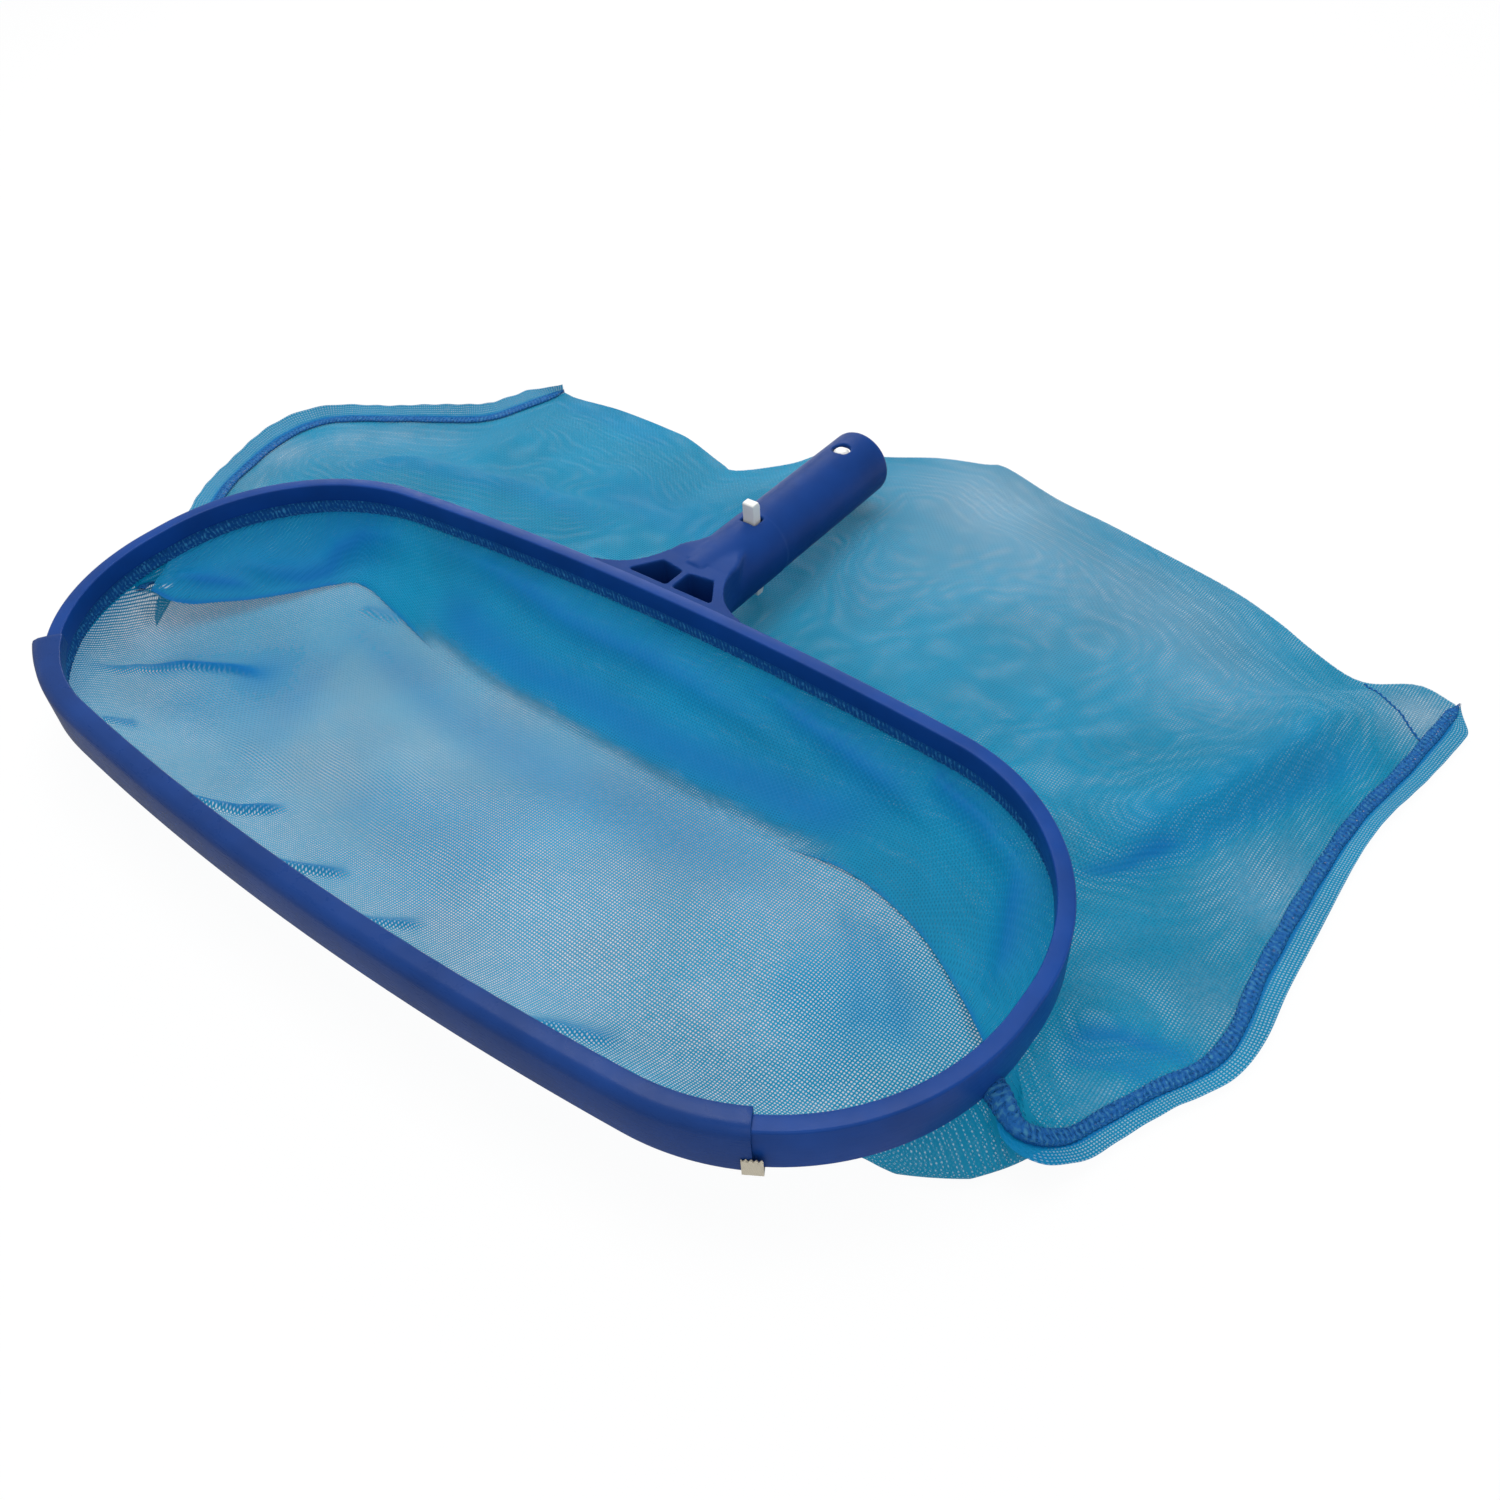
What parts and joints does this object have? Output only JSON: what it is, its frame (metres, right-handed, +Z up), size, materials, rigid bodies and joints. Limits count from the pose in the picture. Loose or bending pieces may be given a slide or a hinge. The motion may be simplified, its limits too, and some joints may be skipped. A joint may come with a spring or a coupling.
{
  "type": "leaf skimmer net",
  "caption": "Pool leaf skimmer head: a wide moulded hoop on a pole socket, with a sewn net bag lying behind it and a sprung lock clip in the socket.",
  "frame": {"origin": "on the pole socket's axis, in the plane of the clip's lock buttons, 118.5 mm behind the hoop's rear edge", "axes": "+Y along the socket's axis, the way the pole leaves; +X along the hoop's long side; +Z up, out of the hoop's mouth"},
  "size_m": [0.565, 0.3793, 0.0474],
  "materials": {
    "hoop_plastic": "satin moulded royal-blue plastic",
    "lip_plastic": "satin blue-violet plastic",
    "net_cloth": "fine open-weave net, bright blue",
    "seam_cloth": "overlocked net edge, darker blue",
    "cord": "cream braided cord",
    "clip_plastic": "off-white acetal"
  },
  "bodies": {
    "frame": {"hoop_frame": "hoop_plastic", "handle_yoke": "hoop_plastic", "pole_socket": "hoop_plastic", "front_lip": "lip_plastic", "net_hem": "seam_cloth", "hem_cord": "cord", "hem_cord_tail": "cord", "net_lower_panel": "net_cloth", "net_upper_panel": "net_cloth", "left_side_seam": "seam_cloth", "right_side_seam": "seam_cloth", "clip_bend": "clip_plastic"},
    "upper_arm": {"clip_upper_arm": "clip_plastic"},
    "lower_arm": {"clip_lower_arm": "clip_plastic"}
  },
  "joints": [
    {"name": "upper_arm_flex", "type": "hinge", "parent": "frame", "child": "upper_arm", "pos_m": [0, -0.094, 0.0032], "axis": [1, 0, 0], "range_deg": [-2.6, 1.9], "stiffness_Nm_per_rad": 8},
    {"name": "lower_arm_flex", "type": "hinge", "parent": "frame", "child": "lower_arm", "pos_m": [0, -0.094, -0.0032], "axis": [-1, 0, 0], "range_deg": [-2.6, 1.9], "stiffness_Nm_per_rad": 8}
  ]
}
